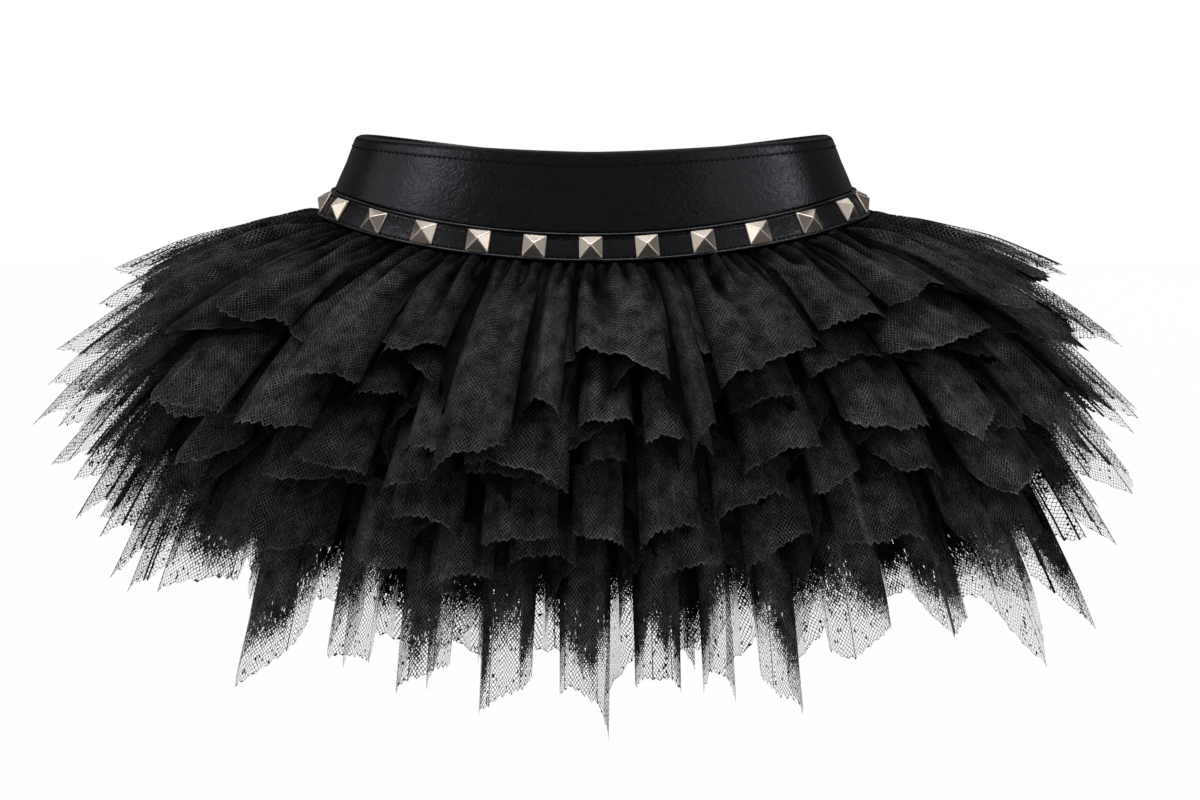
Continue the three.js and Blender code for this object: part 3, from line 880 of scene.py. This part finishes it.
def blocks(random, count, spacing):
    """Columns parted into blocks of uneven width: each column's block, and its part of the way over."""
    cuts = np.cumsum(random.integers(spacing[0], spacing[1] + 1, count))
    cuts = np.concatenate([[0], cuts[cuts < count - spacing[0]], [count]])
    at = np.arange(count)
    number = np.searchsorted(cuts, at, side="right") - 1
    return number, (at - cuts[number]) / (cuts[number + 1] - cuts[number])


def scallops(random, count, spacing, depth):
    """A ragged hem: shallow hollows with a point between each two, as a shortening a column."""
    at = np.arange(count)
    number, part = blocks(random, count, spacing)
    size = depth * random.uniform(0.3, 1, number[-1] + 1)
    teeth = np.where(at % 2 == 0, random.uniform(0, 0.7, count), random.uniform(1.1, 2.7, count))
    return size[number] * np.sin(np.pi * part) + teeth


def soft_step(low, high, value):
    part = np.clip((value - low) / (high - low), 0, 1)
    return part * part * (3 - 2 * part)


def between_columns(values, at):
    """Values at a ring's columns, joined by straight lines."""
    return np.interp(at, np.arange(len(values) + 1), np.append(values, values[0]))


def cloth_runs(points, sideways):
    """How far round its row of cloth each point lies, with the whole way round at the end."""
    step = np.linalg.norm(np.roll(points, -1, 0) - points, axis=2) * (1 - 0.6 * sideways ** 4)
    return np.concatenate([np.zeros((1, points.shape[1])), np.cumsum(step, 0)])


def net_across(run, petal, per_column):
    """Where the net's points lie across the cloth, laid out from the middle of each petal."""
    count, rows = run.shape
    half = int(PETAL_MIDDLE * per_column)
    middle = np.minimum(petal * PETAL_COLUMNS * per_column + half, count - 1)
    flat = run[:, int((rows - 1) * 0.7)]
    wrapped = (np.arange(count) >= count - half) & (petal == 0)
    across = run - run[middle] + flat[middle][:, None]
    return across - wrapped[:, None] * run[-1]


def net_closed(random, level, closing, widths, seed, degrees, cloth, distance, sideways):
    """How much of the net is closed, all near the seam and none at the hem, with uneven edges between
    the two, and the columns at which a folded strip makes a crease."""
    front_low, front_high, side_low, side_high = closing
    low = front_low + (side_low - front_low) * sideways ** 0.6
    high = front_high + (side_high - front_high) * sideways ** 0.6
    uneven = 9 * np.sin(np.radians(cloth) * 23 + seed) + 7 * np.sin(np.radians(cloth) * 57 + 2 * seed)
    # strips where the cloth is folded double stay dark nearly to the hem
    number, part = blocks(random, len(distance), widths)
    longer = random.choice(STRIP_LENGTHS, number[-1] + 1, p=STRIP_CHANCES)[number]
    creases = np.abs(np.diff(longer, prepend=longer[-1])) > FOLD_STEP
    backwards = random.random(number[-1] + 1)[number] < 0.5
    taper = 1.15 - 1.3 * np.where(backwards, 1 - part, part)
    longer = np.where(longer > 0, longer * taper, longer)
    rightward = np.sin(np.radians(degrees))
    corner = np.exp(-((np.abs(np.mod(degrees + 90, 180) - 90) - 52) / 14) ** 2)
    uneven = 0.5 * uneven - longer[:, None] - (4 + 4 * level) * rightward * sideways
    uneven = uneven - 5 * level * corner
    return 1 - soft_step(low, high, distance + uneven), creases


def line_distance(runs, per_column, creases, creased):
    """How far each point is from its petal's side edges, a folded strip's or a side fold's crease."""
    number = np.arange(len(creases))
    column = number % (PETAL_COLUMNS * per_column)
    lines = (column == 0) | (column == 3 * per_column) | creases
    lines = lines | ((column == per_column) & (creased > 0.3))
    lines = np.append(np.flatnonzero(lines), len(creases))
    after = np.searchsorted(lines, number, side="right")
    return np.minimum(runs[:-1] - runs[lines[after - 1]], runs[lines[after]] - runs[:-1])


def painted_net_shade(distance, crests, lift):
    """Painted shade on the net: darker near the seam, in the gathers' valleys and where a petal turns
    under.
    """
    valley_shade = np.clip(0.45 - 0.0055 * distance - 0.8 * lift / (1.2 + distance / 35), 0, 1)
    shade = (0.3 + 0.7 * soft_step(2, 50, distance)) * (0.55 + 0.45 * np.clip(crests, -1, 1))
    return shade * (1 - (0.96 - 0.5 * soft_step(20, 80, distance)) * valley_shade)


def build_flounce(name, level, ring, notch, style, waves, closing, tone, seed):
    """One gathered ring of net, from its petals."""
    random = np.random.default_rng(seed)
    table = petal_columns(ring, notch, random, WEDGE_TAPER if level > WEDGE_LEVEL else 0)
    per_column = style["per_column"]
    rows = style["rows"]
    count = len(table) * per_column
    at = np.arange(count) / per_column
    band = steady_curve(table[:, 0], at, 360.0)[:, None]
    hem = steady_curve(table[:, 1], at, 360.0)[:, None]
    creased = between_columns(table[:, 4], at)
    sharp = between_columns(table[:, 3], at)
    crest = steady_curve(table[:, 3], at) * (1 - creased) + sharp * creased
    reach = between_columns(table[:, 2], at) - scallops(random, count, *style["scallops"])
    t = (np.arange(rows + 1) / rows) ** 1.25
    degrees = band + (hem - band) * t ** 1.5
    distance = reach[:, None] * t
    cloth = np.broadcast_to(band + (hem - band) * 0.5, distance.shape)
    lift = gather_waves(random, cloth, distance, waves)
    crests = np.broadcast_to(crest[:, None], distance.shape)
    points, sideways = flounce_points(level, degrees / 360, distance, crests, lift)
    if level == 0:
        points[:, 0] = section_points(TUCK, degrees[:, 0] / 360)

    petal = (at * per_column + PETAL_MIDDLE * per_column).astype(int) // (PETAL_COLUMNS * per_column)
    petal = petal % len(ring)
    runs = cloth_runs(points, sideways)
    uv = np.stack([net_across(runs[:-1], petal, per_column), distance], -1)
    closed, creases = net_closed(random, level, closing, style["strips"], seed, degrees, cloth,
                                 distance, sideways)
    hem_distance = reach[:, None] * (1 - t)
    if level >= LOWER_LEVEL:
        closed = closed * (0.3 + 0.7 * soft_step(2, 26, hem_distance))
    side_distance = line_distance(runs, per_column, creases, creased) / (1 + 0.4 * sideways)
    edge = np.stack([hem_distance, side_distance, np.zeros_like(distance)], -1)
    width = 0.125 - 0.055 * t * (0.4 + 0.6 * sideways ** 0.5)
    # the net's shade is painted shade, times a random tone for each petal and times tone, which is
    # painted light on the lower flounces and painted shade on the under plies
    shade = painted_net_shade(distance, crests, lift) * random.uniform(0.8, 1.25, len(ring))[petal][:, None]
    net = np.stack([closed, np.broadcast_to(width, distance.shape), tone * shade], -1)
    return make_mesh(name, points.reshape(-1, 3), grid_faces(count, rows + 1, True, False), TULLE,
                     uv=uv.reshape(-1, 2), net=net.reshape(-1, 3), edge=edge.reshape(-1, 3))


def add_flounces():
    for number, flounce in enumerate(FLOUNCES):
        name = flounce["name"]
        waves = TOP_WAVES if number == 0 else MAIN_WAVES
        item = build_flounce(name + "_net", number, whole_ring(PETALS[name]), flounce["notch"],
                             FLOUNCE_STYLE, waves, flounce["closing"], flounce["tone"], 100 + number)
        place(item, "tulle", name)


def add_under_plies():
    for number, (name, level, folds, front_part, side_part, cut) in enumerate(UNDER_PLIES):
        random = np.random.default_rng(300 + number)
        step = 360 / folds
        starts = -90 + step * (np.arange(folds) + random.uniform(-0.16, 0.16, folds))
        widths = step * random.uniform(0.6, 0.94, folds)
        sideways = np.sin(np.radians(starts + widths / 2)) ** 2
        part = front_part + (side_part - front_part) * sideways
        slants = np.array(PLY_SLANTS)[random.integers(0, len(PLY_SLANTS), folds)]
        reach_left = smooth_reach(level, starts) * part * slants[:, 0]
        reach_right = smooth_reach(level, starts + widths) * part * slants[:, 1]
        ring = [list(row) for row in zip(starts, starts + widths, reach_left, reach_right)]
        closing = UPPER_PLY_CLOSING if level < LOWER_LEVEL else LOWER_PLY_CLOSING
        item = build_flounce(name, level, ring, PLY_NOTCH, PLY_STYLE, UNDER_WAVES, closing, PLY_PAINTED_SHADE,
                             500 + number)
        place(item, "tulle")


# Studio

def direction_to(turn, rise):
    """The direction turned to the right of the front and risen, both in degrees."""
    turn = math.radians(turn)
    rise = math.radians(rise)
    return Vector((math.sin(turn) * math.cos(rise), -math.cos(turn) * math.cos(rise), math.sin(rise)))


def camera_white(tree, strength):
    """White to the camera, and of little strength to everything else."""
    path = add_node(tree, "LightPath")
    return maths(tree, "MULTIPLY_ADD", path.outputs["Is Camera Ray"], 1 - strength, strength)


def add_studio():
    scene = bpy.context.scene
    world = bpy.data.worlds.new("studio")
    scene.world = world
    world.use_nodes = True
    tree = world.node_tree
    back = tree.nodes["Background"]
    back.inputs["Color"].default_value = (1, 1, 1, 1)
    tree.links.new(camera_white(tree, BACKDROP_GLOW), back.inputs["Strength"])

    for name, turn, rise, distance, width, height, brightness in PANELS:
        data = bpy.data.lights.new(name, "AREA")
        data.shape = "RECTANGLE"
        data.size = width
        data.size_y = height
        data.energy = brightness * math.pi * width * height
        item = new_item(name, data)
        away = direction_to(turn, rise)
        item.location = away * distance
        item.rotation_euler = (-away).to_track_quat("-Z", "Y").to_euler()

    material, tree, shader = new_material("floor_white", Base_Color=(0, 0, 0, 1), Roughness=1.0,
                                          Specular_IOR_Level=0.0)
    tree.links.new(camera_white(tree, BACKDROP_GLOW), shader.inputs["Emission Strength"])
    noise = add_node(tree, "TexNoise", {"Scale": 3.0})
    tone = blend(tree, noise.outputs["Fac"], (0.985, 0.985, 0.985), (1, 1, 1))
    tree.links.new(tone, shader.inputs["Emission Color"])
    corners = [(x * FLOOR_SIDE, y * FLOOR_SIDE, FLOOR_HEIGHT)
               for x, y in ((-1, -1), (1, -1), (1, 1), (-1, 1))]
    floor = make_mesh("floor", corners, [(0, 1, 2, 3)], material)


def add_camera():
    data = bpy.data.cameras.new("camera")
    data.sensor_width = SENSOR_MM
    data.lens = SENSOR_MM * CAMERA_DISTANCE / (MM_PER_PIXEL * IMAGE_WIDTH_PX)
    data.clip_start = 0.05
    camera = new_item("camera", data)
    back = direction_to(CAMERA_AZIMUTH, CAMERA_ELEVATION)
    camera.location = (AIM + back * CAMERA_DISTANCE) * MM
    camera.rotation_euler = (-back).to_track_quat("-Z", "Y").to_euler()
    bpy.context.scene.camera = camera


add_camera()
add_yoke()
add_strip()
add_stitches()
add_studs()
add_flounces()
add_under_plies()
add_studio()

scene = bpy.context.scene
scene.view_settings.view_transform = "Standard"
scene.cycles.transparent_max_bounces = 32
scene.cycles.max_bounces = 6
